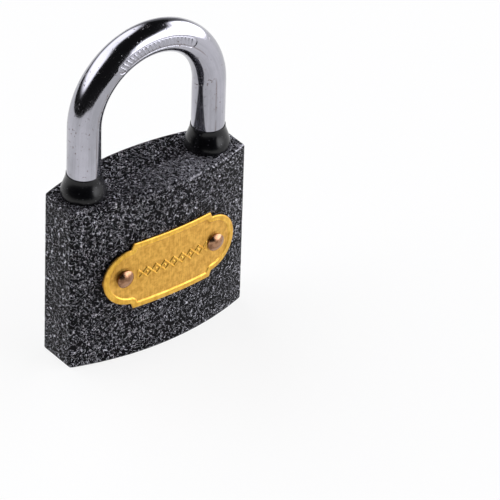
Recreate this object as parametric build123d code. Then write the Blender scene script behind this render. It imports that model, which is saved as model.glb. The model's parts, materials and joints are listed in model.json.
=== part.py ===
from build123d import *
from math import cos, radians, sin, sqrt
import os

os.makedirs("parts", exist_ok=True)

# A 50 mm pin-tumbler padlock with a lens-shaped cast body and a bent rod shackle.
# Origin: middle of the underside. +X runs along the width towards the heel leg,
# -Y is the face with the plate, +Z points up towards the shackle.
# The lock is drawn shut, with the plug turned to its open position and the bolt withdrawn.

# ---- case ----
body_width = 50.0
body_height = 44.0
side_thickness = 10.4
middle_thickness = 19.26
body_edge_radius = 0.7
half_width = body_width / 2
face_rise = (middle_thickness - side_thickness) / 2
face_radius = (half_width**2 + face_rise**2) / (2 * face_rise)

# ---- shackle ----
rod_radius = 4.0
leg_spacing = 35.65
leg_x = leg_spacing / 2
arch_centre_z = 61.9
toe_end_z = 32.5
heel_end_z = 13.5
shackle_travel = 18.0
leg_hole_radius = 4.2
toe_hole_floor_z = 32.0
heel_hole_floor_z = 3.5

# ---- collars round the legs ----
collar_height = 5.8
collar_bore_radius = rod_radius + 0.08
collar_spigot_radius = 4.70
collar_spigot_depth = 2.4
collar_base_radius = 5.55
collar_top_radius = 4.18
press_gap = 0.02

# ---- bolt across the top of the plug ----
bolt_z = 38.0
bolt_radius = 2.5
bolt_channel_radius = 2.55
bolt_nose_x = -13.5
bolt_tail_x = 5.5
bolt_nose_bevel = 1.4
cam_radius = 1.2
cam_offset = 1.9
cam_clearance = 0.15
cam_top_z = 36.8
bolt_throw = 2 * cam_offset * cos(radians(45))
notch_clearance = 0.3
bolt_spring_seat_x = 11.0
bolt_spring_seat_length = 2.3

# ---- pin that keeps the heel leg in the case ----
heel_pin_nose_radius = 1.6
heel_pin_nose_x = 20.4
heel_pin_head_length = 2.4
heel_flat_x = 20.3
heel_groove_core_radius = 2.5
heel_groove_half_height = 1.8

# ---- plug and its bore ----
plug_radius = 5.75
plug_bore_radius = 5.80
plug_bottom_z = 0.2
plug_top_z = 29.5
plug_bore_top_z = 31.0
cam_bore_radius = 4.6
keyway_width = 2.0
keyway_near_x = -2.6
keyway_far_x = 4.6
keyway_top_z = 27.0
ward_depth = 0.6
plug_groove_core_radius = 4.95
plug_groove_z = 5.5
plug_groove_half_height = 1.4
retaining_pin_radius = 1.25

# ---- pin stacks, drilled from the left narrow side ----
pin_heights = [10.5, 15.0, 19.5, 24.0]
key_pin_lengths = [3.0, 3.6, 3.3, 3.9]
pin_radius = 1.45
chamber_radius = 1.50
key_pin_outer_x = -5.5
key_pin_hole_floor_x = -0.5
driver_inner_x = -5.80
driver_length = 5.0
strip_thickness = 2.0
strip_width = 3.4
strip_low_z = 4.0
strip_high_z = 30.3
strip_inner_x = -half_width + strip_thickness

# ---- springs: mean radius, wire radius, number of turns ----
bolt_coil = (1.9, 0.25, 5)
shackle_coil = (3.3, 0.45, 5)
pin_coil = (1.1, 0.18, 7)

# ---- plate and rivets on the face ----
plate_centre_x = 0.95
plate_centre_z = 23.0
plate_middle_width = 22.2
plate_middle_height = 18.2
plate_step_run = 0.7
plate_total_length = 37.8
plate_lobe_height = 15.2
plate_lobe_radius = 7.55
plate_thickness = 0.6
plate_inner_radius = 100.0
rivet_xs = [-12.55, 13.6]
rivet_z = 23.2
rivet_head_radius = 2.25
rivet_head_height = 1.4
rivet_rim_height = 0.2
rivet_shank_radius = 1.0
rivet_shank_end_y = -5.0


def export(shape, name):
    """Write one piece to its own STEP file."""
    export_step(shape, f"parts/{name}.step")


def rod(radius, start, end):
    """A round bar from one point to another."""
    a, b = Vector(*start), Vector(*end)
    plane = Plane(origin=a, z_dir=(b - a).normalized())
    return extrude(plane * Circle(radius), (b - a).length)


def block(x_low, x_high, y_low, y_high, z_low, z_high):
    """A box given by its faces."""
    size = Box(x_high - x_low, y_high - y_low, z_high - z_low)
    return Pos((x_low + x_high) / 2, (y_low + y_high) / 2, (z_low + z_high) / 2) * size


def coil_spring(start, end, mean_radius, wire_radius, turns):
    """A compression spring whose wire just reaches both end planes."""
    a, b = Vector(*start), Vector(*end)
    way = (b - a).normalized()
    inset = wire_radius + press_gap
    height = (b - a).length - 2 * inset
    path = Helix(pitch=height / turns, height=height, radius=mean_radius)
    section = Plane(origin=path @ 0, z_dir=path % 0) * Circle(wire_radius)
    wire = sweep(section, path=path, is_frenet=True)
    return Plane(origin=a + way * inset, z_dir=way) * wire


def face_y(x):
    """Y of the case's front face at a given X."""
    return -(sqrt(face_radius**2 - x**2) - face_radius + middle_thickness / 2)


def plate_front_y(x):
    """Y of the plate's outer surface at a given X."""
    centre_y = face_y(0) - press_gap + plate_inner_radius
    return centre_y - sqrt((plate_inner_radius + plate_thickness) ** 2 - x**2)


# ---- shapes ----
def make_case():
    """Lens-shaped block with rounded edges, bored for the legs, plug, bolt, pins and rivets."""
    half_side = side_thickness / 2
    half_middle = middle_thickness / 2
    outline = ThreePointArc((-half_width, -half_side), (0, -half_middle), (half_width, -half_side))
    outline += Line((half_width, -half_side), (half_width, half_side))
    outline += ThreePointArc((half_width, half_side), (0, half_middle), (-half_width, half_side))
    outline += Line((-half_width, half_side), (-half_width, -half_side))
    case = extrude(make_face(outline), body_height)
    case = fillet(case.edges(), body_edge_radius)

    for x, floor_z in ((-leg_x, toe_hole_floor_z), (leg_x, heel_hole_floor_z)):
        case -= rod(leg_hole_radius, (x, 0, floor_z), (x, 0, body_height + 1))
        counterbore_z = body_height - collar_spigot_depth
        case -= rod(collar_spigot_radius + press_gap, (x, 0, counterbore_z), (x, 0, body_height + 1))

    case -= rod(bolt_channel_radius, (-leg_x, 0, bolt_z), (half_width + 1, 0, bolt_z))
    case -= rod(plug_bore_radius, (0, 0, -1), (0, 0, plug_bore_top_z))
    case -= rod(cam_bore_radius, (0, 0, plug_bore_top_z - 1), (0, 0, bolt_z))

    case -= rod(retaining_pin_radius + press_gap, (0, 0, plug_groove_z), (-half_width + 1, 0, plug_groove_z))
    for z in pin_heights:
        case -= rod(chamber_radius, (0, 0, z), (-half_width + 1, 0, z))
    case -= filler_shape(press_gap, 1.0)

    for x in rivet_xs:
        case -= rod(rivet_shank_radius + press_gap, (x, rivet_shank_end_y + press_gap, rivet_z),
                    (x, -half_middle - 2, rivet_z))
    return case


def filler_shape(grow, proud):
    """Round-ended bar let into the left narrow side, grown all round and made longer outwards."""
    length = strip_high_z - strip_low_z + 2 * grow
    width = strip_width + 2 * grow
    plane = Plane(origin=(strip_inner_x, 0, (strip_low_z + strip_high_z) / 2),
                  x_dir=(0, 0, 1), z_dir=(-1, 0, 0))
    return extrude(plane * SlotOverall(length, width), strip_thickness + proud)


def make_shackle():
    """Round rod bent through half a circle, with the bolt notch, the heel flat and the heel groove."""
    section = Plane(origin=(leg_x, 0, arch_centre_z), z_dir=(0, 0, 1)) * Circle(rod_radius)
    arch_axis = Axis((0, 0, arch_centre_z), (0, -1, 0))
    shackle = revolve(section, arch_axis, 180)
    toe = rod(rod_radius, (-leg_x, 0, toe_end_z), (-leg_x, 0, arch_centre_z))
    toe = chamfer(toe.edges().sort_by(Axis.Z)[0], 1.0)
    heel = rod(rod_radius, (leg_x, 0, heel_end_z), (leg_x, 0, arch_centre_z))
    heel = chamfer(heel.edges().sort_by(Axis.Z)[0], 0.8)
    shackle = shackle + toe + heel

    notch_floor_x = bolt_nose_x - bolt_throw - notch_clearance
    notch_half = bolt_radius + notch_clearance
    shackle -= block(notch_floor_x, -leg_x + rod_radius + 1, -5, 5, bolt_z - notch_half, bolt_z + notch_half)

    groove_z = bolt_z - shackle_travel
    flat_top_z = bolt_z + heel_pin_nose_radius + 0.2
    shackle -= block(heel_flat_x, leg_x + rod_radius + 1, -5, 5, groove_z, flat_top_z)
    low, high = groove_z - heel_groove_half_height, groove_z + heel_groove_half_height
    ring = rod(rod_radius + 1, (leg_x, 0, low), (leg_x, 0, high))
    ring -= rod(heel_groove_core_radius, (leg_x, 0, low - 1), (leg_x, 0, high + 1))
    return shackle - ring


def make_collar(x):
    """Cone-shaped sleeve with a round foot and a spigot, turned about the leg's axis."""
    low_z = body_height - collar_spigot_depth + press_gap
    seat_z = body_height + press_gap
    top_z = body_height + collar_height
    foot = (collar_base_radius - 0.18, seat_z)
    rim = (collar_base_radius, seat_z + 0.36)
    outline = Polyline(
        (collar_bore_radius, top_z), (collar_bore_radius, low_z), (collar_spigot_radius, low_z),
        (collar_spigot_radius, seat_z), foot,
    )
    outline += ThreePointArc(foot, (collar_base_radius - 0.02, seat_z + 0.13), rim)
    outline += Polyline(rim, (collar_top_radius, top_z), (collar_bore_radius, top_z))
    ring = revolve(Plane.XZ * make_face(outline), Axis.Z, 360)
    return Pos(x, 0, 0) * ring


def make_plate():
    """Curved brass plate: a middle with slanted steps and a round lobe at each end, bored for the rivets."""
    top_x, top_y = plate_middle_width / 2, plate_middle_height / 2
    step_x, step_y = top_x + plate_step_run, plate_lobe_height / 2 - 0.15
    quarter = [(top_x, top_y), (step_x, step_y), (step_x, -step_y), (top_x, -top_y)]
    middle = make_face(Polyline(*quarter, *[(-x, y) for x, y in reversed(quarter)], close=True))
    lobes = RectangleRounded(plate_total_length, plate_lobe_height, plate_lobe_radius)
    outline = middle + lobes
    for x in rivet_xs:
        outline -= Pos(x - plate_centre_x, rivet_z - plate_centre_z) * Circle(rivet_shank_radius + press_gap)
    # XZ plane faces -Y, so the outline is drawn as it is seen from the front
    blank = extrude(Plane.XZ * Pos(plate_centre_x, plate_centre_z) * outline, 20)
    centre_y = face_y(0) - press_gap + plate_inner_radius
    sheet = rod(plate_inner_radius + plate_thickness, (0, centre_y, 0), (0, centre_y, body_height))
    sheet -= rod(plate_inner_radius, (0, centre_y, -1), (0, centre_y, body_height + 1))
    return blank & sheet


def make_rivet(x):
    """Domed head, a cap of a sphere, on a plain shank."""
    seat_y = plate_front_y(abs(x) - rivet_head_radius) - press_gap
    top_y = plate_front_y(x) - rivet_head_height
    rim_y = seat_y - rivet_rim_height
    dome_height = rim_y - top_y
    dome_radius = (rivet_head_radius**2 + dome_height**2) / (2 * dome_height)
    head = rod(rivet_head_radius, (0, seat_y, 0), (0, top_y - 1, 0))
    head &= Pos(0, top_y + dome_radius, 0) * Sphere(dome_radius)
    rivet = head + rod(rivet_shank_radius, (0, rivet_shank_end_y, 0), (0, seat_y - rivet_rim_height, 0))
    return Pos(x, 0, rivet_z) * rivet


def make_plug():
    """Brass cylinder with a keyway, pin holes and a retaining groove, turned to its open position."""
    plug = rod(plug_radius, (0, 0, plug_bottom_z), (0, 0, plug_top_z))
    plug = chamfer(plug.edges().sort_by(Axis.Z)[0], 0.3)
    half = keyway_width / 2
    keyway = block(keyway_near_x, keyway_far_x, -half, half, -1, keyway_top_z)
    keyway -= block(0.2, 1.4, half - ward_depth, half + 1, -2, keyway_top_z + 1)
    keyway -= block(2.2, 3.2, -half - 1, -half + ward_depth, -2, keyway_top_z + 1)
    plug -= keyway
    for z in pin_heights:
        plug -= rod(chamber_radius, (-plug_radius - 1, 0, z), (key_pin_hole_floor_x, 0, z))
    low, high = plug_groove_z - plug_groove_half_height, plug_groove_z + plug_groove_half_height
    ring = rod(plug_radius + 1, (0, 0, low), (0, 0, high))
    ring -= rod(plug_groove_core_radius, (0, 0, low - 1), (0, 0, high + 1))
    plug -= ring
    plug = Rot(0, 0, 90) * plug
    cam_x, cam_y = cam_place()
    low, high = (cam_x, cam_y, keyway_top_z + 0.4), (cam_x, cam_y, plug_top_z + 1)
    return plug - rod(cam_radius + press_gap, low, high)


def cam_place():
    """Where the cam pin stands with the bolt withdrawn."""
    return cam_offset * cos(radians(-45)), cam_offset * sin(radians(-45))


def make_cam_pin():
    """Off-centre pin on top of the plug that drives the bolt."""
    cam_x, cam_y = cam_place()
    pin = rod(cam_radius, (cam_x, cam_y, keyway_top_z + 0.42), (cam_x, cam_y, cam_top_z))
    return chamfer(pin.edges().sort_by(Axis.Z)[-1], 0.2)


def make_bolt():
    """Round bolt with a bevelled nose and a cross slot that the cam pin runs in."""
    bolt = rod(bolt_radius, (bolt_nose_x, 0, bolt_z), (bolt_tail_x, 0, bolt_z))
    corner_x, corner_z = bolt_nose_x - 1, bolt_z + bolt_radius + 1
    leg = bolt_nose_bevel + 2
    slope = Polyline((corner_x, corner_z), (corner_x, corner_z - leg), (corner_x + leg, corner_z), close=True)
    bolt -= extrude(Plane.XZ.offset(-5) * make_face(slope), 10)
    cam_x, _ = cam_place()
    half = cam_radius + cam_clearance
    return bolt - block(cam_x - half, cam_x + half, -bolt_radius - 1, cam_clearance,
                        bolt_z - bolt_radius - 1, cam_top_z + 0.3)


def make_heel_retaining_pin():
    """Stepped plug that closes the bolt channel and reaches into the heel leg's flat."""
    head_x = half_width - heel_pin_head_length
    pin = rod(bolt_channel_radius - press_gap, (head_x, 0, bolt_z), (half_width, 0, bolt_z))
    return pin + rod(heel_pin_nose_radius, (heel_pin_nose_x, 0, bolt_z), (head_x + 1, 0, bolt_z))


def make_key_pin(z, length):
    """Brass pin with a cone tip, standing in its hole of the turned plug."""
    tip_x = key_pin_outer_x + length
    outline = Polyline((key_pin_outer_x, 0), (key_pin_outer_x, pin_radius), (tip_x - 0.9, pin_radius),
                       (tip_x, 0.5), (tip_x, 0), (key_pin_outer_x, 0))
    pin = revolve(make_face(outline), Axis.X, 360)
    return Rot(0, 0, 90) * Pos(0, 0, z) * pin


def make_driver_pin(z):
    """Plain pin between the plug and its spring."""
    outer_x = driver_inner_x - driver_length
    pin = rod(pin_radius, (driver_inner_x, 0, z), (outer_x, 0, z))
    return chamfer(pin.edges().sort_by(Axis.X)[0], 0.2)


def main():
    export(make_case(), "body")
    export(make_shackle(), "shackle")
    export(make_collar(-leg_x), "toe_collar")
    export(make_collar(leg_x), "heel_collar")
    export(make_plate(), "name_plate")
    export(make_rivet(rivet_xs[0]), "plate_rivet_left")
    export(make_rivet(rivet_xs[1]), "plate_rivet_right")
    export(make_plug(), "plug")
    export(make_cam_pin(), "cam_pin")
    export(make_bolt(), "bolt")
    export(make_heel_retaining_pin(), "heel_retaining_pin")
    seat_end_x = bolt_spring_seat_x + bolt_spring_seat_length
    export(rod(bolt_channel_radius - press_gap, (bolt_spring_seat_x, 0, bolt_z), (seat_end_x, 0, bolt_z)),
           "bolt_spring_seat")
    bolt_spring = coil_spring((bolt_tail_x, 0, bolt_z), (bolt_spring_seat_x, 0, bolt_z), *bolt_coil)
    export(bolt_spring, "bolt_spring")
    shackle_spring = coil_spring((leg_x, 0, heel_hole_floor_z), (leg_x, 0, heel_end_z), *shackle_coil)
    export(shackle_spring, "shackle_spring")
    export(filler_shape(0, 0), "chamber_strip")
    pin_start = (strip_inner_x + press_gap, 0, plug_groove_z)
    pin_end = (-plug_groove_core_radius - 0.15, 0, plug_groove_z)
    export(rod(retaining_pin_radius, pin_start, pin_end), "plug_retaining_pin")

    driver_outer_x = driver_inner_x - driver_length
    for number, (z, length) in enumerate(zip(pin_heights, key_pin_lengths), 1):
        export(make_key_pin(z, length), f"key_pin_{number}")
        export(make_driver_pin(z), f"driver_pin_{number}")
        spring = coil_spring((strip_inner_x, 0, z), (driver_outer_x, 0, z), *pin_coil)
        export(spring, f"pin_spring_{number}")


main()
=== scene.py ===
"""Looks of a 50 mm padlock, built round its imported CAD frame. Shapes are worked out in millimetres."""

import json
from math import atan2, cos, degrees, pi, radians, sin, sqrt

import bpy
import numpy as np
from mathutils import Matrix, Vector


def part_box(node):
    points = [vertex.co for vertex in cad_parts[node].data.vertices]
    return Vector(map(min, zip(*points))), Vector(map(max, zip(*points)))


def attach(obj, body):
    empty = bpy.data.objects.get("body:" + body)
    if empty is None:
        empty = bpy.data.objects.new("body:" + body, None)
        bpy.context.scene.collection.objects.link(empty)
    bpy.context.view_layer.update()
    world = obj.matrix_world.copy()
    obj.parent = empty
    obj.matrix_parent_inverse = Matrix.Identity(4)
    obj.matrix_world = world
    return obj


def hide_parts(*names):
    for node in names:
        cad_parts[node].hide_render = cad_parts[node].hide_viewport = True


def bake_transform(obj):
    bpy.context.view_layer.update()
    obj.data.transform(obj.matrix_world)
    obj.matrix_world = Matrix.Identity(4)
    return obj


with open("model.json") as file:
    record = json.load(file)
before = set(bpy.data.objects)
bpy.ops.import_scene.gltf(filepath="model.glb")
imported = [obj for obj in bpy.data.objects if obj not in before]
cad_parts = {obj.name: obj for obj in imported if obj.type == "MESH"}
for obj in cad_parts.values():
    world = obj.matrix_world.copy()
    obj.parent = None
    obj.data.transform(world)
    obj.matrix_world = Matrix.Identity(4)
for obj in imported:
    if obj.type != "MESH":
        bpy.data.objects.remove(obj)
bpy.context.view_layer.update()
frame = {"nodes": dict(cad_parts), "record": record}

MM = 0.001

# ---- sizes read from the frame, and the few that it doesn't give ----
case_high = np.array(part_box("body")[1]) / MM
case_half_width = case_high[0]
case_height = case_high[2]
case_half_middle = case_high[1]
case_half_side = 5.2
case_edge = 0.7
face_rise = case_half_middle - case_half_side
face_radius = (case_half_width**2 + face_rise**2) / (2 * face_rise)

rod_low, rod_high = (np.array(corner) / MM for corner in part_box("shackle"))
rod_radius = rod_high[1]
leg_x = rod_high[0] - rod_radius
arch_z = rod_high[2] - rod_radius - leg_x
toe_end_z = 32.5
heel_end_z = rod_low[2]

leg_hole_radius = 4.2
channel_radius, channel_z = 2.6, 38.0
cam_bore_radius = 4.6
chamber_radius, chamber_heights = 1.5, (10.5, 15.0, 19.5, 24.0)
keeper_radius, keeper_z = 1.27, 5.5
plug_bore_radius, plug_bore_top = 5.86, 31
toe_floor_z, heel_floor_z = toe_end_z - 0.5, 3.5
seat_hole_radius, seat_hole_depth = 4.74, 2.4
overshoot = 1  # how far a drill runs past the face that it opens

plate_low, plate_high = (np.array(corner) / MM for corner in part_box("name_plate"))
plate_x = (plate_low[0] + plate_high[0]) / 2
plate_z = (plate_low[2] + plate_high[2]) / 2
plate_half_length = (plate_high[0] - plate_low[0]) / 2
plate_half_height = (plate_high[2] - plate_low[2]) / 2
plate_thickness = 0.6
plate_curve = 100.0
plate_back_y = plate_low[1] + plate_thickness
shoulder_start, shoulder_end = 11.1, 11.8
shoulder_height, shoulder_slope = 9.1, 1.65 / 0.7
lobe_radius = 7.6
rivet_ring_radius = 2.5
rivet_z = (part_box("plate_rivet_left")[0].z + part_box("plate_rivet_left")[1].z) / 2 / MM
rivet_xs = [(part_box(f"plate_rivet_{side}")[0].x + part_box(f"plate_rivet_{side}")[1].x) / 2 / MM
            for side in ("left", "right")]


# ---------------------------------------------------------------- meshes
def grid_faces(rows, columns, close_rows=False, close_columns=False):
    """Four-cornered faces of a grid of points numbered row by row, joined end to end where asked."""
    row, column = np.meshgrid(
        np.arange(rows if close_rows else rows - 1),
        np.arange(columns if close_columns else columns - 1),
        indexing="ij",
    )
    row_on, column_on = (row + 1) % rows, (column + 1) % columns
    corners = (row * columns + column, row * columns + column_on,
               row_on * columns + column_on, row_on * columns + column)
    return np.stack(corners, -1).reshape(-1, 4)


def weld(points, quads):
    """Joins points that fall together and turns faces that lose a corner into triangles."""
    keys = np.round(points / 1e-4).astype(np.int64)
    _, first, number = np.unique(keys, axis=0, return_index=True, return_inverse=True)
    quads = number.reshape(-1)[quads]
    same = quads == np.roll(quads, -1, axis=1)
    faces = quads[~same.any(axis=1)].tolist()
    for corner in range(4):
        thin = same[:, corner] & (same.sum(axis=1) == 1)
        faces += np.delete(quads[thin], corner, axis=1).tolist()
    return points[first], faces


def outward(points, faces):
    """Turns all faces round if the signed volume under them is negative."""
    volume = 0.0
    for size in (3, 4):
        ring = np.array([face for face in faces if len(face) == size])
        for k in range(1, size - 1) if len(ring) else ():
            a, b, c = points[ring[:, 0]], points[ring[:, k]], points[ring[:, k + 1]]
            volume += float((a * np.cross(b, c)).sum())
    return faces if volume > 0 else [face[::-1] for face in faces]


def make_mesh(name, points, quads, closed=True):
    """An object at the origin whose mesh has these points, in millimetres, and faces."""
    points, faces = weld(np.asarray(points, float).reshape(-1, 3), quads)
    if closed:
        faces = outward(points, faces)
    mesh = bpy.data.meshes.new(name)
    mesh.from_pydata((points * MM).tolist(), [], faces)
    mesh.update()
    piece = bpy.data.objects.new(name, mesh)
    bpy.context.scene.collection.objects.link(piece)
    return piece


def mesh_points(piece):
    """The points of a piece's mesh, in millimetres."""
    points = np.zeros(len(piece.data.vertices) * 3)
    piece.data.vertices.foreach_get("co", points)
    return points.reshape(-1, 3) / MM


def store(piece, name, values):
    """Keeps a number or a vector with each point of a piece, for its finish."""
    kind, key = ("FLOAT", "value") if values.ndim == 1 else ("FLOAT_VECTOR", "vector")
    layer = piece.data.attributes.new(name, kind, "POINT")
    layer.data.foreach_set(key, values.astype(np.float32).ravel())


def apply_modifiers(piece):
    """Bakes the live modifiers into the piece's mesh."""
    bpy.context.view_layer.update()
    graph = bpy.context.evaluated_depsgraph_get()
    mesh = bpy.data.meshes.new_from_object(piece.evaluated_get(graph))
    piece.modifiers.clear()
    piece.data = mesh


def cut(piece, cutters):
    """Takes closed cutter shapes out of a piece, then joins the points that fall together."""
    for cutter in cutters:
        modifier = piece.modifiers.new("cut", "BOOLEAN")
        modifier.operation = "DIFFERENCE"
        modifier.solver = "EXACT"
        modifier.object = cutter
        apply_modifiers(piece)
        bpy.data.objects.remove(cutter)
    piece.modifiers.new("join", "WELD").merge_threshold = 0.001 * MM
    apply_modifiers(piece)


def dress(piece, finish, body, slot, *replaced, crease=35):
    """Smooths a piece up to a crease angle, gives it its finish and body, and hides the CAD nodes that it
    replaces; its slot is not used.
    """
    piece.data.shade_smooth()
    piece.data.set_sharp_from_angle(angle=radians(crease))
    piece.data.materials.clear()
    piece.data.materials.append(finish)
    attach(piece, body)
    if replaced:
        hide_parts(*replaced)
    return piece


def lathe(name, profile, place=(0, 0, 0), along="Z", steps=96):
    """Points (radius, height) of a profile carried round an axis: x = r cos t, y = r sin t, z = height."""
    radius, height = np.array(profile, float).T
    turn = np.linspace(0, 2 * pi, steps, endpoint=False)
    a = radius[:, None] * np.cos(turn)
    b = radius[:, None] * np.sin(turn)
    h = np.repeat(height[:, None], steps, axis=1)
    order = {"Z": (a, b, h), "Y": (b, h, a), "X": (h, a, b)}[along]
    points = np.stack(order, -1) + np.array(place)
    return make_mesh(name, points, grid_faces(len(radius), steps, close_columns=True))


def arc(centre, radius, start, end, steps):
    """Points on a circle between two angles in degrees, both included."""
    turn = np.radians(np.linspace(start, end, steps))
    return np.stack([centre[0] + radius * np.cos(turn), centre[1] + radius * np.sin(turn)], -1)


def arc_through(first, middle, last, steps):
    """Points on the circle through three points: its centre is where their bisectors cross."""
    a, b, c = (complex(*point) for point in (first, middle, last))
    ratio = (c - a) / (b - a)
    centre = a + (b - a) * (ratio - abs(ratio) ** 2) / (2j * ratio.imag)
    start = np.angle(a - centre)
    sweep = np.angle((c - centre) / (a - centre))
    turn = start + sweep * np.linspace(0, 1, steps)
    return centre.real + abs(a - centre) * np.cos(turn), centre.imag + abs(a - centre) * np.sin(turn)


def smooth_noise(points, cell, seed):
    """Noise from -1 to 1: random values on a cubic lattice, blended across each cell by 3f^2 - 2f^3."""
    size = 64
    table = np.random.default_rng(seed).uniform(-1, 1, (size, size, size))
    low = np.floor(points / cell).astype(int)
    part = points / cell - low
    weight = part * part * (3 - 2 * part)
    total = np.zeros(len(points))
    for corner in np.ndindex(2, 2, 2):
        share = np.prod(np.where(np.array(corner) == 1, weight, 1 - weight), axis=1)
        total += share * table[tuple(((low + corner) % size).T)]
    return total


def step_up(value, low, high):
    """0 below low, 1 above high, and 3t^2 - 2t^3 between."""
    part = np.clip((value - low) / (high - low), 0, 1)
    return part * part * (3 - 2 * part)


# ---------------------------------------------------------------- shapes
def lens_outline():
    """Outline of the case seen from above and its outward directions: two face arcs, two flat sides,
    and a small arc at each corner. One quarter is worked out and mirrored."""
    corner_x = case_half_width - case_edge
    arc_y = face_radius - case_half_middle
    corner_y = arc_y - sqrt((face_radius - case_edge) ** 2 - corner_x**2)
    lean = degrees(atan2(corner_y - arc_y, corner_x))
    face = np.radians(np.linspace(-90, lean, 78))
    corner = np.radians(np.linspace(lean, 0, 7))[1:]
    side_y = np.linspace(corner_y, 0, 14)[1:]
    way = np.concatenate([face, corner, np.zeros(len(side_y))])
    out = np.stack([np.cos(way), np.sin(way)], -1)
    edge = np.concatenate([
        np.array([0, arc_y]) + face_radius * out[:len(face)],
        np.array([corner_x, corner_y]) + case_edge * out[len(face):len(face) + len(corner)],
        np.stack([np.full(len(side_y), case_half_width), side_y], -1),
    ])
    half = np.concatenate([edge, (edge * [1, -1])[-2::-1]])
    half_out = np.concatenate([out, (out * [1, -1])[-2::-1]])
    return (np.concatenate([half, (half * [-1, 1])[-2:0:-1]]),
            np.concatenate([half_out, (half_out * [-1, 1])[-2:0:-1]]))


def rounded_slab(outline, out, low, high, edge, wall_rows, cap_rows, spine):
    """Rows of points of a slab: a cap that spreads from a spine line to the outline moved in by the edge
    radius, a quarter-round edge, the wall, and the same at the other end."""
    bend = np.radians(np.linspace(0, 90, 6))
    inner = outline - edge * out
    middle = inner * [spine, 0]
    spread = np.linspace(0, 1, cap_rows)[:, None, None] ** 0.8
    cap = middle + (inner - middle) * spread
    rows = [(row, low) for row in cap[:-1]]
    rows += [(inner + edge * sin(t) * out, low + edge * (1 - cos(t))) for t in bend]
    rows += [(outline, z) for z in np.linspace(low + edge, high - edge, wall_rows)[1:-1]]
    rows += [(inner + edge * cos(t) * out, high - edge * (1 - sin(t))) for t in bend]
    rows += [(row, high) for row in cap[-2::-1]]
    return np.stack([np.column_stack([flat, np.full(len(flat), z)]) for flat, z in rows])


def filler_outline():
    """Outline of the chamber strip, a bar with half-round ends, in height and depth."""
    half_width, half_length = 1.70, 13.15
    top = arc((half_length - half_width, 0), half_width, -90, 90, 25)
    bottom = arc((half_width - half_length, 0), half_width, 90, 270, 25)
    turn = np.radians(np.concatenate([np.linspace(-90, 90, 25), np.linspace(90, 270, 25)]))
    return np.concatenate([top, bottom]), np.stack([np.cos(turn), np.sin(turn)], -1)


def filler(name, grow, outer_x, inner_x, edge):
    """The chamber strip, or the hole for it: its outline carried along X."""
    outline, out = filler_outline()
    rows = rounded_slab(outline + grow * out, out, 0, inner_x - outer_x, edge, 3, 6, 0.86)
    points = np.stack([outer_x + rows[..., 2], rows[..., 1], 17.15 + rows[..., 0]], -1)
    return make_mesh(name, points, grid_faces(*rows.shape[:2], close_columns=True))


def make_case():
    """Lens-shaped slab with a faint hammered relief, then bored for the legs, plug, bolt and strip, with a
    painted highlight marked along its top front edge.
    """
    outline, out = lens_outline()
    rows = rounded_slab(outline, out, 0, case_height, case_edge, 122, 15, 0.8)
    points = rows.reshape(-1, 3)
    inward = np.zeros_like(points)
    inward[:, :2] = -np.tile(out, (len(rows), 1))
    level = points[:, 2]
    inward[level > case_height - 0.02] = (0, 0, -1)
    inward[level < 0.02] = 0
    dents = smooth_noise(points, 0.95, 7) + 0.6 * smooth_noise(points, 0.6, 8)
    points = points + inward * (0.028 * (1 - np.abs(dents)))[:, None]
    case = make_mesh("case", points, grid_faces(*rows.shape[:2], close_columns=True))

    def drill(radius, start, end, place, along="Z"):
        return lathe("drill", [(0, start), (radius, start), (radius, end), (0, end)], place, along, 72)

    def drill_across(radius, start, end, height):
        return drill(radius, start, end, (0, 0, height), "X")

    cut(case, [
        drill_across(channel_radius, -leg_x, case_half_width + overshoot, channel_z),
        *[drill_across(chamber_radius, -case_half_width + 1, 0, z) for z in chamber_heights],
        drill_across(keeper_radius, -case_half_width + 1, 0, keeper_z),
        filler("drill", 0.05, -case_half_width - overshoot, -case_half_width + 2, 0),
        drill(cam_bore_radius, plug_bore_top - overshoot, channel_z, (0, 0, 0)),
        drill(plug_bore_radius, -overshoot, plug_bore_top, (0, 0, 0)),
        drill(leg_hole_radius, toe_floor_z, case_height + overshoot, (-leg_x, 0, 0)),
        drill(leg_hole_radius, heel_floor_z, case_height + overshoot, (leg_x, 0, 0)),
        *[drill(seat_hole_radius, case_height - seat_hole_depth, case_height + overshoot, (x, 0, 0))
          for x in (-leg_x, leg_x)],
    ])

    # painted highlight: a band on the top front edge's rounding, stronger towards the right, which the
    # paint's finish turns paler
    x, y, z = mesh_points(case).T
    lean = np.clip((z - (case_height - case_edge)) / case_edge, 0, 1)
    on_edge = (z > case_height - case_edge) * (z < case_height - 0.01)
    top_edge = np.exp(-(((lean - 0.72) / 0.25) ** 2)) * on_edge
    store(case, "painted_edge_highlight", top_edge * (y < 0) * (0.15 + 0.85 * step_up(x, -8, 14)))
    return case


def stamp_depth(along, across):
    """How far the mark on the bend is sunk: an obround pocket with soft walls, in which slanted strokes
    stand side by side like the lay of a rope."""
    half_length, half_height, pitch = 11.6, 1.42, 1.08
    end = np.maximum(np.abs(along) - (half_length - half_height), 0)
    pocket = step_up(half_height - np.hypot(end, across), -0.06, 0.16)
    lean = np.mod(along - 0.42 * across, pitch) - pitch / 2
    strokes = np.maximum(np.abs(lean) - 0.21, np.abs(across) - 1.02)
    mark = step_up(-strokes, -0.05, 0.06) * step_up(10.5 - np.abs(along), 0, 0.15)
    return 0.18 * pocket - 0.17 * mark * pocket


def unbend(points):
    """Place on the straightened rod: how far out of the bend, to the front, and along the rod."""
    x, y, z = points.T
    over = z > arch_z
    out = np.where(over, np.hypot(x, z - arch_z), np.abs(x)) - leg_x
    on_leg = np.sign(x) * (pi / 2 * leg_x + arch_z - z)
    along = np.where(over, np.arctan2(x, z - arch_z) * leg_x, on_leg)
    return np.stack([out, -y, along], -1)


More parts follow.
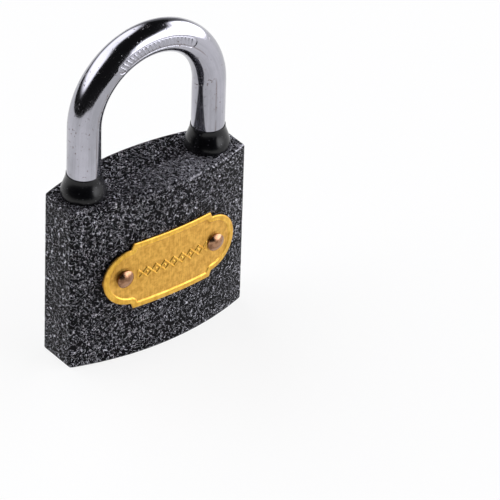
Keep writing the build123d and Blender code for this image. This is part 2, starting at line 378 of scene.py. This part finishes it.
def make_shackle():
    """Round rod carried along two legs and half a circle. Its radius is a function of the place along
    the rod and the angle round it: 0 degrees faces out of the bend and 90 the front."""
    notch_low, notch_high, notch_depth = 35.2, 40.8, 1.338
    flat_low, flat_high, flat_depth = 20.0, 39.8, 2.475
    groove_low, groove_high, groove_radius = 18.2, 21.8, 2.5
    crisp = 0.015
    stamp_turn = radians(88)

    def leg(start, end, spacing, steps):
        edges = [z for step in steps for z in (step - crisp, step + crisp)]
        return np.sort(np.concatenate([np.arange(start, end, spacing), edges]))

    toe = leg(toe_end_z + 1, arch_z, 0.8, (notch_low, notch_high))
    heel = leg(heel_end_z + 0.8, arch_z, 0.8, (groove_low, groove_high, flat_high))[::-1]
    bend = np.radians(np.concatenate([
        np.arange(-90, -38, 1.3), np.arange(-38, 38, 0.25), np.arange(38, 90.1, 1.3),
    ]))
    toe_x = np.full(len(toe), -leg_x)
    heel_x = np.full(len(heel), leg_x)
    centre_x = np.concatenate([[-leg_x] * 2, toe_x, leg_x * np.sin(bend), heel_x, [leg_x] * 2])
    arch = arch_z + leg_x * np.cos(bend)
    centre_z = np.concatenate([[toe_end_z] * 2, toe, arch, heel, [heel_end_z] * 2])
    out_x = centre_x / leg_x
    out_z = np.where(centre_z > arch_z, (centre_z - arch_z) / leg_x, 0)
    size = np.full(len(centre_x), rod_radius)
    size[[0, -1]] = 0
    size[1], size[-2] = rod_radius - 1, rod_radius - 0.8

    wide = np.concatenate([np.arange(114, 360, 4.0), np.arange(0, 60, 4.0)])
    turn = np.radians(np.sort(np.concatenate([wide, np.arange(62, 112, 1.1)])))
    z, x = centre_z[:, None], centre_x[:, None]
    radius = np.repeat(size[:, None], len(turn), axis=1)
    outwards = np.cos(turn)[None, :]
    notch = (x < 0) & (z > notch_low) & (z < notch_high) & (outwards < 0)
    radius = np.where(notch, np.minimum(radius, notch_depth / np.maximum(-outwards, 1e-3)), radius)
    flat = (x > 0) & (z > flat_low) & (z < flat_high) & (outwards > 0)
    radius = np.where(flat, np.minimum(radius, flat_depth / np.maximum(outwards, 1e-3)), radius)
    groove = (x > 0) & (z > groove_low) & (z < groove_high) & (radius > 0)
    radius = np.where(groove, groove_radius, radius)
    lean = np.arctan2(out_x, out_z)[:, None]
    stamped = stamp_depth(lean * leg_x, rod_radius * (turn[None, :] - stamp_turn))
    radius = radius - np.where(z > arch_z, stamped, 0)

    side, front = outwards * radius, np.sin(turn)[None, :] * radius
    points = np.stack([x + side * out_x[:, None], -front, z + side * out_z[:, None]], -1).reshape(-1, 3)
    axis = np.stack([np.repeat(x, len(turn), 1), 0 * front, np.repeat(z, len(turn), 1)], -1).reshape(-1, 3)
    ripple = 0.010 * smooth_noise(points, 3.1, 11) + 0.003 * smooth_noise(points, 1.1, 12)
    points = points + (points - axis) / rod_radius * ripple[:, None]
    shackle = make_mesh("shackle_rod", points, grid_faces(len(centre_x), len(turn), close_columns=True))
    place = unbend(mesh_points(shackle))
    store(shackle, "rod", place * MM)
    angle = np.arctan2(place[:, 1], place[:, 0]) - stamp_turn
    store(shackle, "stamp", step_up(stamp_depth(place[:, 2], rod_radius * angle), 0.0, 0.12))
    return shackle


def make_collar(name, x):
    """Bell turned about the leg: thin and close to it above, swelling in an S-curve to a round foot."""
    bore, spigot, lip, base = rod_radius + 0.08, 4.70, 4.15, 5.50
    seat, top = case_height + 0.02, case_height + 5.8
    rim = (base, seat + 0.36)
    rise = np.linspace(0, 1, 30)[1:]
    swell = (1 - rise) ** 2 * (1 + 2 * rise)
    flank_r = lip + (base - lip) * (0.86 * swell + 0.14 * (1 - rise))
    flank_z = rim[1] + (top - 0.05 - rim[1]) * rise
    profile = [(bore, seat - 2.38), (spigot, seat - 2.38), (spigot, seat)]
    profile += zip(*arc_through((base - 0.16, seat), (base - 0.03, seat + 0.14), rim, 8))
    profile += zip(flank_r, flank_z)
    profile += [(lip - 0.03, top), (bore, top), profile[0]]
    return lathe(name, profile, (x, 0, 0), steps=128)


def plate_front_y(x):
    """Depth of the flat of the plate's front at a distance from the middle of the case."""
    return plate_back_y + plate_curve - sqrt((plate_curve + plate_thickness) ** 2 - x**2)


def make_rivet(name, node):
    """Domed head: a cap of a sphere with a rounded rim, slightly flattened by the hammer, on its shank."""
    low, high = (np.array(corner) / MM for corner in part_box(node))
    x, z = (low[0] + high[0]) / 2, (low[2] + high[2]) / 2
    head = (high[0] - low[0]) / 2
    seat = plate_front_y(abs(x) - head) - 0.02
    rim = seat - 0.2
    rise = rim - low[1]
    ball = (head**2 + rise**2) / (2 * rise)
    spread = np.sin(np.linspace(0, pi / 2, 30))
    dome_r = head * spread
    dome_y = low[1] + 0.05 + ball - np.sqrt(ball**2 - dome_r**2) - 0.05 * spread**2
    profile = np.concatenate([
        np.stack([dome_r, dome_y], -1), [(head, seat), (1.0, seat), (1.0, high[1]), (0, high[1])],
    ])
    rivet = lathe(name, profile, (x, 0, z), "Y", 72)
    points = mesh_points(rivet)
    outer = points[:, 1] < rim
    points[outer] += 0.035 * smooth_noise(points[outer], 1.3, 31)[:, None] * np.array([0, 1, 0])
    rivet.data.vertices.foreach_set("co", (points * MM).ravel())
    return rivet


def plate_half_height_at(x):
    """Half height of the plate's outline at a distance from its middle: the straight middle, a slanted
    step, then a round lobe."""
    x = np.abs(x)
    lobe_x = plate_half_length - lobe_radius
    lobe = np.sqrt(np.maximum(lobe_radius**2 - np.maximum(x - lobe_x, 0) ** 2, 0))
    slant = np.where(x < shoulder_end, shoulder_height - (x - shoulder_start) * shoulder_slope, 0)
    return np.where(x <= shoulder_start, plate_half_height, np.maximum(lobe, slant))


def ornament(x, z):
    """Height of the pressed row along the plate: two zigzag lines crossing into a chain of lozenges,
    with a bead in each and a bar at each end."""
    pitch, half_row, half_tall = 2.5, 10.0, 1.3
    wave = np.abs(np.mod(x / pitch, 2) - 1) * 2 - 1
    gap = np.abs(np.abs(z) - half_tall * np.abs(wave)) * 0.70
    bead = np.hypot(np.mod(x + pitch / 2, pitch) - pitch / 2, z) - 0.26
    bar = np.maximum(np.abs(np.abs(x) - half_row) - 0.14, np.abs(z) - half_tall)
    inner = np.where(np.abs(x) < half_row - 0.05, np.minimum(gap - 0.14, bead), 9)
    return 1 - step_up(np.minimum(inner, bar), -0.02, 0.13)


def make_plate():
    """Pressed sheet: a grid across the outline, bent to the plate's curve. Its height over the sheet
    depends on the distance to the edge: a rolled rim, a flat flange, a low bead and a sunk field."""
    fine = plate_half_length * np.sin(np.linspace(0, pi / 2, 70))
    steps = np.concatenate([np.linspace(0, shoulder_start, 130), [11.2, 11.35, 11.5, 11.65, 11.8, 11.82]])
    half = np.unique(np.round(np.concatenate([steps, fine[fine > 11.9]]), 4))
    x = np.concatenate([-half[::-1], half[1:]])
    rim = np.array([0, 0.04, 0.10, 0.18, 0.28, 0.45, 0.65, 0.85, 0.98,
                    1.10, 1.22, 1.34, 1.46, 1.58, 1.70, 1.82, 2.0])
    share = np.concatenate([rim, np.linspace(2.12, shoulder_height, 74)]) / shoulder_height
    share = np.concatenate([share, 2 - share[-2::-1]])
    z = plate_half_height_at(x)[:, None] * (1 - share[None, :])
    flat = np.stack([np.repeat(x[:, None], z.shape[1], 1), z], -1).reshape(-1, 2)

    corner_x = [shoulder_start, shoulder_end, -shoulder_start, -shoulder_end]
    edge_x = np.concatenate([np.linspace(-plate_half_length, plate_half_length, 500), corner_x])
    edge = np.stack([edge_x, plate_half_height_at(edge_x)], -1)
    edge = edge[np.argsort(edge_x)]
    point = np.stack([flat[:, 0], np.abs(flat[:, 1])], -1)
    inset = np.full(len(flat), 99.0)
    for a, d in zip(edge[:-1], np.diff(edge, axis=0)):
        part = np.clip(((point - a) @ d) / max(d @ d, 1e-9), 0, 1)
        inset = np.minimum(inset, np.hypot(*(point - a - part[:, None] * d).T))

    bead = 0.07 * np.exp(-(((inset - 1.30) / 0.18) ** 2))
    field = -0.20 * step_up(inset, 1.38, 1.74)
    roll = -0.14 * (1 - step_up(inset, 0, 0.26))
    pressed = 0.22 * ornament(flat[:, 0] - 0.1, flat[:, 1])
    dings = 0.02 * smooth_noise(np.column_stack([flat, 0 * inset]), 3.4, 21) * step_up(inset, 0, 0.5)
    x_here, z_here = plate_x + flat[:, 0], plate_z + flat[:, 1]
    ring = 0
    for rivet_x in rivet_xs:
        away = np.hypot(x_here - rivet_x, z_here - rivet_z)
        ring = ring + np.exp(-(((away - rivet_ring_radius) / 0.2) ** 2))
    height = bead + field + roll + pressed + dings - 0.05 * ring

    curve = plate_curve + plate_thickness + height
    y_here = plate_back_y + plate_curve - np.sqrt(curve**2 - x_here**2)
    points = np.stack([x_here, y_here, z_here], -1)
    plate = make_mesh("plate", points, grid_faces(len(x), z.shape[1]), closed=False)
    mesh = plate.data
    normals = np.zeros(len(mesh.polygons) * 3)
    mesh.polygons.foreach_get("normal", normals)
    if normals.reshape(-1, 3)[:, 1].sum() > 0:
        mesh.flip_normals()
    wall = plate.modifiers.new("wall", "SOLIDIFY")
    wall.thickness = (plate_thickness - 0.12) * MM
    wall.offset = -1
    apply_modifiers(plate)
    return plate


def mark_proud(plate):
    """Stores on the plate how much each point stands on its flange, bead or ornament, from 0 to 1."""
    points = mesh_points(plate)
    centre_y = plate_back_y + plate_curve
    height = np.hypot(points[:, 0], points[:, 1] - centre_y) - plate_curve - plate_thickness
    store(plate, "proud", step_up(height, -0.11, -0.02))


def make_spring(name, node, mean_radius, wire_radius, turns):
    """Round wire carried along a helix about X that fills the length of the CAD spring's box: the wire's
    centre is (R cos t, R sin t, pitch * t), and its rim turns about the helix's tangent. Both ends are
    closed."""
    low, high = (np.array(corner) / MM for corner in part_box(node))
    turn = np.linspace(0, 2 * pi * turns, 28 * turns + 1)
    pitch = (high[0] - low[0] - 2 * wire_radius) / turn[-1]
    out = np.stack([np.cos(turn), np.sin(turn), 0 * turn], -1)
    way = np.stack([-mean_radius * np.sin(turn), mean_radius * np.cos(turn), pitch + 0 * turn], -1)
    side = np.cross(way / np.linalg.norm(way, axis=1)[:, None], out)
    centre = mean_radius * out + np.array([0, 0, 1]) * (pitch * turn)[:, None]
    size = np.full(len(turn), float(wire_radius))
    size, centre, out, side = (
        np.concatenate([part[:1], part, part[-1:]]) for part in (size, centre, out, side)
    )
    size[[0, -1]] = 0
    rim = np.linspace(0, 2 * pi, 12, endpoint=False)[None, :, None]
    spoke = np.cos(rim) * out[:, None] + np.sin(rim) * side[:, None]
    across, upward, along = np.moveaxis(centre[:, None] + size[:, None, None] * spoke, -1, 0)
    place = (low + high) / 2
    place[0] = low[0] + wire_radius
    points = np.stack((along, across, upward), -1) + place
    return make_mesh(name, points, grid_faces(*points.shape[:2], close_columns=True))


# ---------------------------------------------------------------- finishes
class Wire:
    """A node's output that Python's operators work on. Each operator adds one Math node."""

    def __init__(self, tree, socket=None):
        self.tree = tree
        self.socket = socket

    def node(self, kind, settings=None, sockets=None, output=0):
        """Adds a node of any kind: its settings first, then the values or wires of its sockets."""
        made = self.tree.nodes.new("ShaderNode" + kind)
        for key, value in (settings or {}).items():
            setattr(made, key, value)
        for key, value in (sockets or {}).items():
            if isinstance(value, Wire):
                self.tree.links.new(value.socket, made.inputs[key])
            else:
                made.inputs[key].default_value = value
        return Wire(self.tree, made.outputs[output]) if len(made.outputs) else None

    def maths(self, operation, *values):
        return self.node("Math", {"operation": operation}, dict(enumerate(values)))

    def __add__(self, other):
        return self.maths("ADD", self, other)

    __radd__ = __add__

    def __sub__(self, other):
        return self.maths("SUBTRACT", self, other)

    def __rsub__(self, other):
        return self.maths("SUBTRACT", other, self)

    def __mul__(self, other):
        return self.maths("MULTIPLY", self, other)

    __rmul__ = __mul__

    def __pow__(self, other):
        return self.maths("POWER", self, other)

    def __abs__(self):
        return self.maths("ABSOLUTE", self)

    def above(self, low, high):
        """0 below low, 1 above high, smooth between."""
        ends = {"Value": self, "From Min": low, "From Max": high}
        return self.node("MapRange", {"interpolation_type": "SMOOTHSTEP"}, ends)

    def shift(self, offset):
        """A place moved by a fixed vector."""
        return self.node("VectorMath", {"operation": "ADD"}, {0: self, 1: offset})

    def stretch(self, scale):
        """A place with each axis scaled."""
        return self.node("VectorMath", {"operation": "MULTIPLY"}, {0: self, 1: scale})

    def noise(self, scale, detail=0.0, roughness=0.5):
        """Noise at a place, 0 to 1."""
        return self.node("TexNoise", {}, {"Vector": self, "Scale": scale, "Detail": detail,
                                          "Roughness": roughness})

    def warp(self, scale, amount):
        """A place pushed about by coloured noise."""
        colour = self.node("TexNoise", {}, {"Vector": self, "Scale": scale, "Detail": 0.0}, "Color")
        push = colour.shift((-0.5, -0.5, -0.5)).stretch((amount, amount, amount))
        return self.node("VectorMath", {"operation": "ADD"}, {0: self, 1: push})

    def mix(self, low, high):
        """The colour low where this is 0 and high where it is 1."""
        return self.node("Mix", {"data_type": "RGBA"}, {0: self, 6: low, 7: high}, 2)

    def bump(self, distance, strength=1.0):
        """A normal bent by this height, for a relief of that many metres."""
        return self.node("Bump", {}, {"Height": self, "Distance": distance, "Strength": strength})


def start_finish(name):
    """A new material and the object's own coordinates in it."""
    material = bpy.data.materials.new(name)
    material.use_nodes = True
    material.node_tree.nodes.clear()
    return material, Wire(material.node_tree).node("TexCoord", output="Object")


def end_finish(place, **sockets):
    """The shader, with sockets named in lower case and underscores."""
    names = {key.replace("_", " ").title().replace("Ior", "IOR"): value
             for key, value in sockets.items()}
    shader = place.node("BsdfPrincipled", {}, names)
    place.node("OutputMaterial", {}, {"Surface": shader})


def hammer_paint():
    """Black enamel with pale worm-like squiggles: thin contour lines of warped noise at two sizes, each
    broken into short lengths by another noise, over a dimpled skin. A painted highlight makes the top front
    edge paler."""
    material, place = start_finish("hammer_paint")
    loose = place.warp(1300, 0.0006)
    long_line = 1 - abs(loose.noise(1300) - 0.5).above(0.004, 0.020)
    short_line = 1 - abs(loose.shift((0.31, 0.17, 0.23)).noise(2000) - 0.5).above(0.003, 0.022)
    long_break = place.shift((0.7, 0.1, 0.4)).noise(1350).above(0.43, 0.50)
    short_break = place.shift((0.2, 0.6, 0.9)).noise(1200).above(0.50, 0.57)
    mask = place.maths("MAXIMUM", long_line * long_break, short_line * short_break)
    mask = mask * (0.72 + 0.60 * place.noise(300, 1.0))
    # painted highlight: pale flakes spread along the top front edge, where the edge catches the light
    painted_edge_highlight = place.node("Attribute", {"attribute_name": "painted_edge_highlight"}, output="Fac")
    mask = place.maths("MAXIMUM", mask, painted_edge_highlight * place.noise(1500, 2.0).above(0.44, 0.60) * 0.55)
    colour = mask.mix((0.003, 0.003, 0.004, 1), (0.83, 0.82, 0.91, 1))
    relief = 0.8 * mask + place.noise(1100, 1.0)
    end_finish(place, base_color=colour, roughness=0.24 + 0.14 * mask, metallic=0.8 * mask,
               specular_ior_level=0.05, normal=relief.bump(0.00010, 0.8))
    return material


def chrome_plate():
    """Bright plating on drawn rod: soft streaks along the rod, orange peel, cloudiness, scattered pits, a
    dark draw line on one side, and a matt floor in the sunk mark."""
    material, place = start_finish("chrome_plate")
    rod = place.node("Attribute", {"attribute_name": "rod"}, output="Vector")
    mark = place.node("Attribute", {"attribute_name": "stamp"}, output="Fac")
    out, front = (rod.node("SeparateXYZ", {}, {0: rod}, axis) for axis in range(2))
    streak = rod.stretch((1, 1, 0.05)).noise(1700, 2.0, 0.6)
    broad = rod.stretch((1, 1, 0.12)).noise(260, 1.0)
    cloud = place.noise(170, 3.0, 0.6)
    grain = place.noise(3300, 1.0)
    pit = place.noise(1500, 1.0).above(0.64, 0.72) * place.noise(260, 1.0).above(0.47, 0.60)
    turn = front.maths("ARCTAN2", front, out) * (180 / pi)
    worn = rod.stretch((1, 1, 0.3)).noise(700, 2.0).above(0.34, 0.6)
    line = (1 - abs(turn - 101.0).above(1.2, 3.6)) * worn
    tone = 0.25 * streak + 0.50 * broad + 0.25 * cloud
    colour = tone.above(0.34, 0.66).mix((0.325, 0.325, 0.36, 1), (0.46, 0.455, 0.51, 1))
    dirt = pit.maths("MINIMUM", 0.75 * pit + 0.5 * line, 1.0)
    colour = dirt.mix(colour, (0.15, 0.11, 0.10, 1))
    rough = 0.075 + 0.10 * cloud + 0.25 * dirt + 0.22 * mark
    relief = 0.30 * place.noise(300, 2.0) + 0.06 * streak + 0.10 * grain - 0.6 * pit + 0.5 * mark * grain
    end_finish(place, base_color=colour, metallic=1.0, roughness=rough, normal=relief.bump(0.00005, 0.7))
    return material


def collar_gloss():
    """Glossy black moulded plastic with faint flow marks and a little dust."""
    material, place = start_finish("collar_gloss")
    marks = place.noise(700, 3.0, 0.65)
    cloud = place.noise(180, 2.0)
    dust = place.noise(2300, 1.0).above(0.70, 0.76)
    colour = dust.mix((0.002, 0.002, 0.003, 1), (0.10, 0.10, 0.11, 1))
    end_finish(place, base_color=colour, roughness=0.13 + 0.12 * cloud + 0.2 * dust,
               specular_ior_level=0.32, normal=(marks + 0.5 * dust).bump(0.00003, 0.5))
    return material


def plate_brass():
    """Lacquered sheet brass with fine upright brushing and soft blotches, paler and brighter on the
    flange, the bead and the ornament than in the sunk field."""
    material, place = start_finish("plate_brass")
    grain = place.stretch((1, 1, 0.10)).noise(3200, 2.0, 0.6)
    blotch = place.noise(800, 4.0, 0.7)
    proud = place.node("Attribute", {"attribute_name": "proud"}, output="Fac")
    tone = (0.35 * grain + 0.65 * blotch).above(0.34, 0.66)
    field = tone.mix((0.50, 0.255, 0.040, 1), (0.78, 0.455, 0.095, 1))
    flange = tone.mix((0.58, 0.305, 0.035, 1), (0.84, 0.51, 0.090, 1))
    end_finish(place, base_color=proud.mix(field, flange), metallic=0.9,
               roughness=0.40 - 0.08 * proud + 0.08 * grain,
               normal=(grain + 0.6 * blotch).bump(0.00003, 0.4))
    return material


def rivet_copper():
    """Copper-plated domes with brown tarnish and a little pitting."""
    material, place = start_finish("rivet_copper")
    tarnish = place.noise(620, 3.0, 0.6).above(0.36, 0.66)
    colour = tarnish.mix((0.40, 0.22, 0.13, 1), (0.20, 0.10, 0.055, 1))
    pits = place.noise(2400, 2.0)
    end_finish(place, base_color=colour, metallic=1.0, roughness=0.19 + 0.12 * tarnish,
               normal=pits.bump(0.00004, 0.6))
    return material


def turned_brass():
    """Turned brass with fine rings about the plug's axis."""
    material, place = start_finish("turned_brass")
    rings = place.node("TexWave", {"wave_type": "RINGS", "rings_direction": "Z"},
                       {"Vector": place, "Scale": 900.0, "Distortion": 1.2, "Detail": 1.0}, "Fac")
    blotch = place.noise(300, 3.0)
    colour = blotch.above(0.3, 0.7).mix((0.62, 0.43, 0.15, 1), (0.80, 0.60, 0.26, 1))
    end_finish(place, base_color=colour, metallic=1.0, roughness=0.24 + 0.14 * rings,
               normal=rings.bump(0.00002, 0.4))
    return material


def zinc_steel():
    """Zinc-plated steel with fine drawing marks."""
    material, place = start_finish("zinc_steel")
    drawn = place.stretch((0.08, 1, 1)).noise(3600, 2.0)
    cloud = place.noise(400, 2.0)
    colour = cloud.above(0.3, 0.7).mix((0.42, 0.42, 0.43, 1), (0.60, 0.60, 0.60, 1))
    end_finish(place, base_color=colour, metallic=1.0, roughness=0.26 + 0.2 * drawn,
               normal=drawn.bump(0.00002, 0.4))
    return material


def spring_wire():
    """Dark oiled spring wire."""
    material, place = start_finish("spring_wire")
    cloud = place.noise(900, 2.0)
    colour = cloud.above(0.3, 0.7).mix((0.24, 0.23, 0.22, 1), (0.40, 0.39, 0.37, 1))
    end_finish(place, base_color=colour, metallic=1.0, roughness=0.30 + 0.15 * cloud,
               normal=cloud.bump(0.00002, 0.3))
    return material


# ---------------------------------------------------------------- the object
def add_coil(name, node, size, wire, turned=False):
    """A spring between the case and the part that it pushes, in the place of the CAD spring."""
    spring = make_spring(name, node, *size)
    low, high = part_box(node)
    _, y, z = ((a + b) / 2 for a, b in zip(low, high))
    ends = [(low.x, y, z), (high.x, y, z)]
    if turned:
        ends.reverse()
    spring.data.shade_smooth()
    spring.data.materials.append(wire)
    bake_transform(spring)
    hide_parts(node)


def build():
    """Every piece with its finish; the new pieces hide the CAD nodes that they stand for, and all but the
    springs get a body.
    """
    paint, chrome, gloss = hammer_paint(), chrome_plate(), collar_gloss()
    brass, copper, wire = plate_brass(), rivet_copper(), spring_wire()
    dress(make_case(), paint, "case", "case_paint", "body", crease=50)
    strip = filler("strip", -0.03, -case_half_width, -case_half_width + 1.9, 0.12)
    dress(strip, paint, "case", "case_paint", "chamber_strip")
    dress(make_shackle(), chrome, "shackle", "chrome", "shackle")
    dress(make_collar("collar_of_toe", -leg_x), gloss, "case", "collar_plastic", "toe_collar")
    dress(make_collar("collar_of_heel", leg_x), gloss, "case", "collar_plastic", "heel_collar")
    plate = make_plate()
    mark_proud(plate)
    dress(plate, brass, "case", "plate_brass", "name_plate", crease=60)
    for side in ("left", "right"):
        rivet = make_rivet(f"rivet_{side}", f"plate_rivet_{side}")
        dress(rivet, copper, "case", "rivet_copper", f"plate_rivet_{side}")
    add_coil("bolt_coil", "bolt_spring", (1.9, 0.25, 5), wire, turned=True)
    for k in range(1, 5):
        add_coil(f"pin_coil_{k}", f"pin_spring_{k}", (1.1, 0.18, 7), wire)

    finishes = {
        "case_paint": paint, "plug_brass": turned_brass(), "steel": zinc_steel(), "spring_steel": wire,
    }
    for part in frame["record"]["subparts"]:
        node = frame["nodes"][part["node"]]
        if part["material_slot"] in finishes:
            node.data.materials.clear()
            node.data.materials.append(finishes[part["material_slot"]])


# ---------------------------------------------------------------- studio
def floor():
    """Pale table that glows faintly, so that the lock's shadow stays light. It ends near on the left front,
    and lets the view through from underneath."""
    near, far, top = -0.34, 3.0, -0.00002
    mesh = bpy.data.meshes.new("floor")
    corners = [(near, near, top), (far, near, top), (far, far, top), (near, far, top)]
    mesh.from_pydata(corners, [], [(0, 1, 2, 3)])
    table = bpy.data.objects.new("floor", mesh)
    bpy.context.scene.collection.objects.link(table)
    material, place = start_finish("floor_white")
    white = place.node("BsdfPrincipled", {}, {
        "Base Color": (0.16, 0.16, 0.16, 1), "Roughness": 0.9, "Specular IOR Level": 0.0,
        "Emission Color": (1, 1, 1, 1), "Emission Strength": 0.84})
    clear = place.node("BsdfTransparent", {}, {})
    below = place.node("NewGeometry", output="Backfacing")
    both = place.node("MixShader", {}, {0: below, 1: white, 2: clear})
    place.node("OutputMaterial", {}, {"Surface": both})
    mesh.materials.append(material)


def soft_box(azimuth, elevation, centre, half_width, half_height, corner, blur):
    """1 inside a rounded rectangle of the sky, in degrees, and 0 outside it, with a blurred edge."""
    across = abs(azimuth - centre[0]) - (half_width - corner)
    upward = abs(elevation - centre[1]) - (half_height - corner)
    across = across.maths("MAXIMUM", across, 0.0)
    upward = upward.maths("MAXIMUM", upward, 0.0)
    distance = (across * across + upward * upward) ** 0.5
    return 1 - distance.above(corner - blur, corner + blur)


def sky():
    """A dark studio with two large soft boxes and a dim wall between them, behind a pale backdrop."""
    world = bpy.data.worlds.new("studio")
    bpy.context.scene.world = world
    world.use_nodes = True
    world.node_tree.nodes.clear()
    way = Wire(world.node_tree).node("TexCoord", output="Generated")
    x, y, z = (way.node("SeparateXYZ", {}, {0: way}, axis) for axis in range(3))
    azimuth = x.maths("ARCTAN2", y, x) * (180 / pi)
    elevation = z.maths("ARCSINE", z) * (180 / pi)
    right = soft_box(azimuth, elevation, (-27, 17), 51, 21, 15, 6)
    back = soft_box(azimuth, elevation, (119, 38), 57, 24, 20, 8)
    wall = soft_box(azimuth, elevation, (55, 4), 42, 14, 10, 9)
    light = way.node("Background", {}, {"Color": (0.97, 0.97, 1.0, 1),
                                        "Strength": 0.012 + 4.2 * right + 2.4 * back + 0.28 * wall})
    backdrop = way.node("Background", {}, {"Color": (1, 1, 1, 1), "Strength": 0.95})
    seen = way.node("LightPath", output="Is Camera Ray")
    both = way.node("MixShader", {}, {0: seen, 1: light, 2: backdrop})
    way.node("OutputWorld", {}, {"Surface": both})


def camera():
    """A long lens from the front left and above, rolled slightly."""
    azimuth, elevation, roll = radians(-38.306), radians(34.752), radians(1.842)
    distance, right_of_lock, above_lock = 1372.3, 24.38, 11.58
    aim = Vector((0, 0, 35))
    back = Vector((sin(azimuth) * cos(elevation), -cos(azimuth) * cos(elevation), sin(elevation)))
    level = Vector((cos(azimuth), sin(azimuth), 0))
    steep = back.cross(level)
    right = cos(roll) * level + sin(roll) * steep
    up = cos(roll) * steep - sin(roll) * level
    place = aim + distance * back + right_of_lock * right - above_lock * up
    data = bpy.data.cameras.new("camera")
    data.lens = 425.1
    data.sensor_width = 36
    view = bpy.data.objects.new("camera", data)
    turn = Matrix((right, up, back)).transposed().to_4x4()
    view.matrix_world = Matrix.Translation(place * MM) @ turn
    bpy.context.scene.collection.objects.link(view)
    bpy.context.scene.camera = view


build()
floor()
sky()
camera()
bpy.context.scene.view_settings.view_transform = "Standard"
